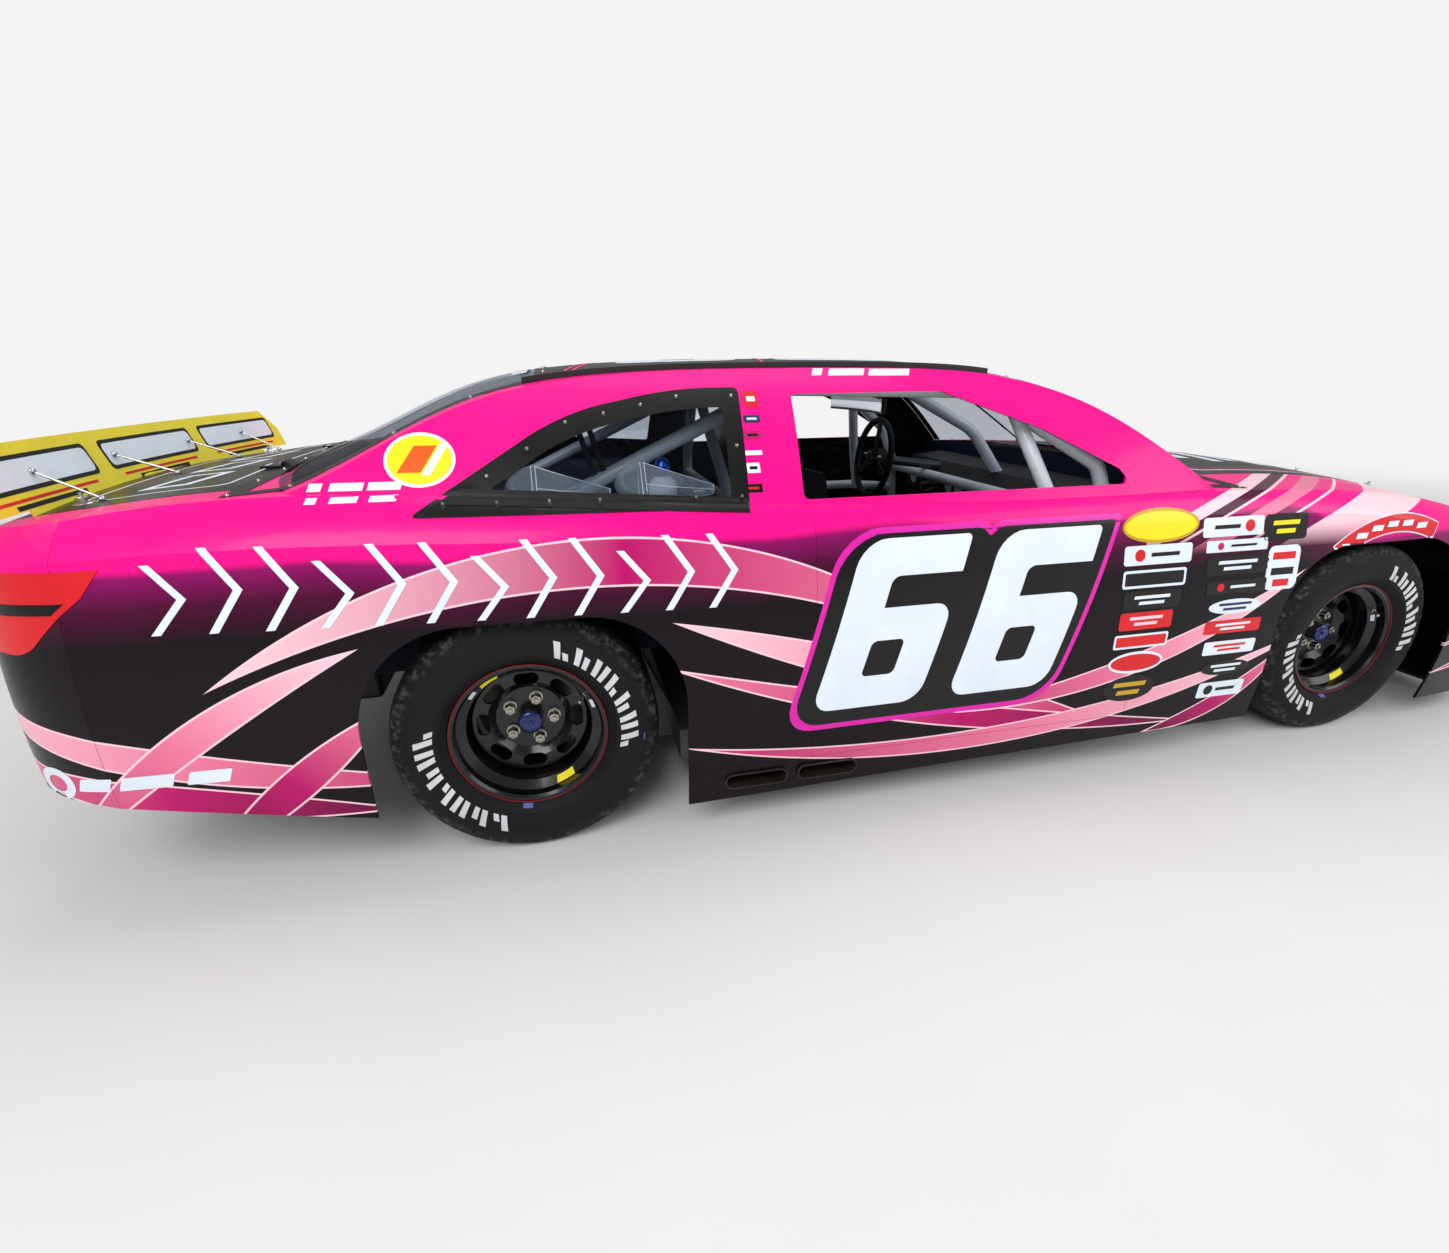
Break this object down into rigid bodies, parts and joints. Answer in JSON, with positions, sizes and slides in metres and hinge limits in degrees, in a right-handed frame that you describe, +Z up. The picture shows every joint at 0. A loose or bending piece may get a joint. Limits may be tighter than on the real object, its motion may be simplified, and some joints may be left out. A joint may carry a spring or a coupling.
{
  "type": "oval-track stock car",
  "caption": "Full-size closed-roof oval-track racing car: composite body over a tube frame and roll cage, open side windows, steered front wheels, hinged hood and deck lid with a tall blade.",
  "frame": {"origin": "centre of the footprint's bounding box on the floor under the tyres", "axes": "+X to the nose, +Y to the driver's (left) side, +Z up"},
  "size_m": [4.96, 1.9594, 1.3003],
  "materials": {
    "body_paint": "gloss wrap over composite panels",
    "skirt_plastic": "satin black",
    "clear_polycarbonate": "clear",
    "black_plastic": "satin black",
    "spoiler_paint": "gloss",
    "black_mesh": "satin black",
    "frame_paint": "satin grey",
    "floor_paint": "matt grey",
    "cage_paint": "satin silver grey",
    "engine_metal": "cast",
    "radiator_alloy": "plain",
    "exhaust_steel": "heat stained",
    "dash_black": "matt black",
    "wheel_grip": "suede-like grip",
    "seat_alloy": "black powder coat with padding",
    "suspension_steel": "satin black",
    "spring_paint": "gloss red",
    "tyre_rubber": "scuffed slick",
    "wheel_paint": "gloss black steel",
    "brake_iron": "machined"
  },
  "bodies": {
    "chassis": {"bulkheads": "floor_paint", "cage_bars": "cage_paint", "control_arms": "suspension_steel", "crossmembers": "frame_paint", "dash_panel": "dash_black", "door_bars": "cage_paint", "door_panels": "body_paint", "driveline": "engine_metal", "driver_seat": "seat_alloy", "engine": "engine_metal", "exhaust": "exhaust_steel", "floor_pan": "floor_paint", "front_fenders": "body_paint", "front_rails": "frame_paint", "fuel_cell": "black_plastic", "grille": "black_mesh", "main_hoop": "cage_paint", "nose_cover": "body_paint", "quarter_panels": "body_paint", "radiator": "radiator_alloy", "rear_axle": "suspension_steel", "rear_bumper_cover": "body_paint", "rear_rails": "frame_paint", "rocker_skirts": "skirt_plastic", "roof_rails": "black_plastic", "roof_shell": "body_paint", "side_rails": "frame_paint", "splitter": "black_plastic", "springs": "spring_paint", "steering_column": "dash_black", "trailing_arms": "suspension_steel", "window_ducts": "clear_polycarbonate", "windows": "clear_polycarbonate"},
    "hood": {"hood": "body_paint"},
    "deck_lid": {"deck_lid": "body_paint", "spoiler": "spoiler_paint"},
    "steering_wheel": {"steering_wheel": "wheel_grip"},
    "knuckle_left": {"knuckle_left": "suspension_steel"},
    "knuckle_right": {"knuckle_right": "suspension_steel"},
    "wheel_front_left": {"tyre_front_left": "tyre_rubber", "wheel_front_left": "wheel_paint", "hub_front_left": "brake_iron"},
    "wheel_front_right": {"tyre_front_right": "tyre_rubber", "wheel_front_right": "wheel_paint", "hub_front_right": "brake_iron"},
    "wheel_rear_left": {"tyre_rear_left": "tyre_rubber", "wheel_rear_left": "wheel_paint", "hub_rear_left": "brake_iron"},
    "wheel_rear_right": {"tyre_rear_right": "tyre_rubber", "wheel_rear_right": "wheel_paint", "hub_rear_right": "brake_iron"}
  },
  "joints": [
    {"name": "hood_hinge", "type": "hinge", "parent": "chassis", "child": "hood", "pos_m": [0.9425, 0, 0.94807], "axis": [0, -1, 0], "range_deg": [0, 60]},
    {"name": "deck_lid_hinge", "type": "hinge", "parent": "chassis", "child": "deck_lid", "pos_m": [-1.9425, 0, 1.01461], "axis": [0, 1, 0], "range_deg": [0, 55]},
    {"name": "steer_left", "type": "hinge", "parent": "chassis", "child": "knuckle_left", "pos_m": [1.484, 0.64, 0.35], "axis": [0, 0, 1], "range_deg": [-20, 20]},
    {"name": "steer_right", "type": "hinge", "parent": "chassis", "child": "knuckle_right", "pos_m": [1.484, -0.64, 0.35], "axis": [0, 0, 1], "range_deg": [-20, 20]},
    {"name": "steering_wheel_turn", "type": "hinge", "parent": "chassis", "child": "steering_wheel", "pos_m": [0.245, 0.4, 0.88], "axis": [0.9903, 0, -0.1392], "range_deg": [-240, 240]},
    {"name": "front_left_spin", "type": "hinge", "parent": "knuckle_left", "child": "wheel_front_left", "pos_m": [1.484, 0.772, 0.35], "axis": [0, 1, 0], "continuous": true},
    {"name": "front_right_spin", "type": "hinge", "parent": "knuckle_right", "child": "wheel_front_right", "pos_m": [1.484, -0.772, 0.35], "axis": [0, 1, 0], "continuous": true},
    {"name": "rear_left_spin", "type": "hinge", "parent": "chassis", "child": "wheel_rear_left", "pos_m": [-1.31, 0.772, 0.35], "axis": [0, 1, 0], "continuous": true},
    {"name": "rear_right_spin", "type": "hinge", "parent": "chassis", "child": "wheel_rear_right", "pos_m": [-1.31, -0.772, 0.35], "axis": [0, 1, 0], "continuous": true}
  ],
  "couplings": [
    {"joint": "steer_right", "follows": "steer_left", "ratio": 1},
    {"joint": "steering_wheel_turn", "follows": "steer_left", "ratio": -12}
  ]
}
